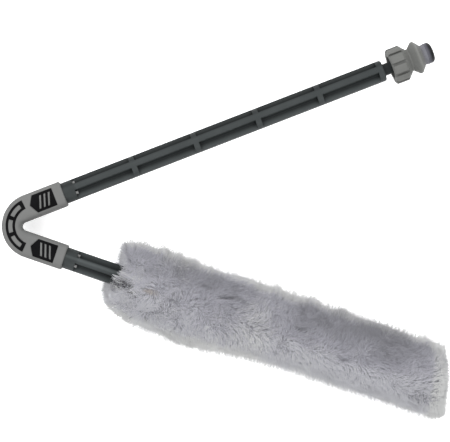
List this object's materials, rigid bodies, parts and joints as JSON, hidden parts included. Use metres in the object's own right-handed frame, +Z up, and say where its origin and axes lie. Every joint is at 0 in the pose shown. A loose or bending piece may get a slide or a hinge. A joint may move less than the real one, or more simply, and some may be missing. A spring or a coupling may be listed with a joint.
{
  "type": "folding swab brush",
  "caption": "Folding cleaning brush with two slim ribbed arms joined by a bending rubber elbow, one carrying a long fleece swab and the other a soft lobed squeegee tip.",
  "frame": {"origin": "middle of the underside of the object's bounding box, on the surface that it lies on", "axes": "+Z up from that surface; +X from the rubber elbow towards the two free ends, +Y from the swab arm towards the squeegee arm"},
  "size_m": [0.2378, 0.2005, 0.033],
  "materials": {
    "arm_plastic": "satin",
    "hinge_rubber": "matte",
    "head_rubber": "matte",
    "inlay_black": "satin",
    "cap_plastic": "satin",
    "fleece": "matte",
    "backing_knit": "matte",
    "thread": "matte"
  },
  "bodies": {
    "swab_side": {"swab_arm": "arm_plastic", "swab_leg": "hinge_rubber", "swab_lock_plugs": "hinge_rubber", "swab_inlay_front": "inlay_black", "swab_inlay_back": "inlay_black", "fleece_backing": "backing_knit", "fleece_pile": "fleece", "seam_thread": "thread"},
    "bend": {"hinge_bend": "hinge_rubber", "bend_inlay_front": "inlay_black", "bend_inlay_back": "inlay_black"},
    "squeegee_side": {"squeegee_arm": "arm_plastic", "squeegee_leg": "hinge_rubber", "squeegee_lock_plugs": "hinge_rubber", "squeegee_inlay_front": "inlay_black", "squeegee_inlay_back": "inlay_black", "squeegee_head": "head_rubber", "tip_cap": "cap_plastic"}
  },
  "joints": [
    {"name": "swab_side_bend", "type": "hinge", "parent": "swab_side", "child": "bend", "pos_m": [-0.11331, -0.00498, 0.015], "axis": [0.0109, 0.0321, 0.9994], "range_deg": [-11, 70], "stiffness_Nm_per_rad": 0.3, "deforming": ["hinge_bend", "bend_inlay_front", "bend_inlay_back"]},
    {"name": "squeegee_side_bend", "type": "hinge", "parent": "bend", "child": "squeegee_side", "pos_m": [-0.1136, 0.00875, 0.01456], "axis": [0.0109, 0.0321, 0.9994], "range_deg": [-11, 70], "stiffness_Nm_per_rad": 0.3}
  ],
  "couplings": [
    {"joint": "squeegee_side_bend", "follows": "swab_side_bend", "ratio": 1}
  ]
}
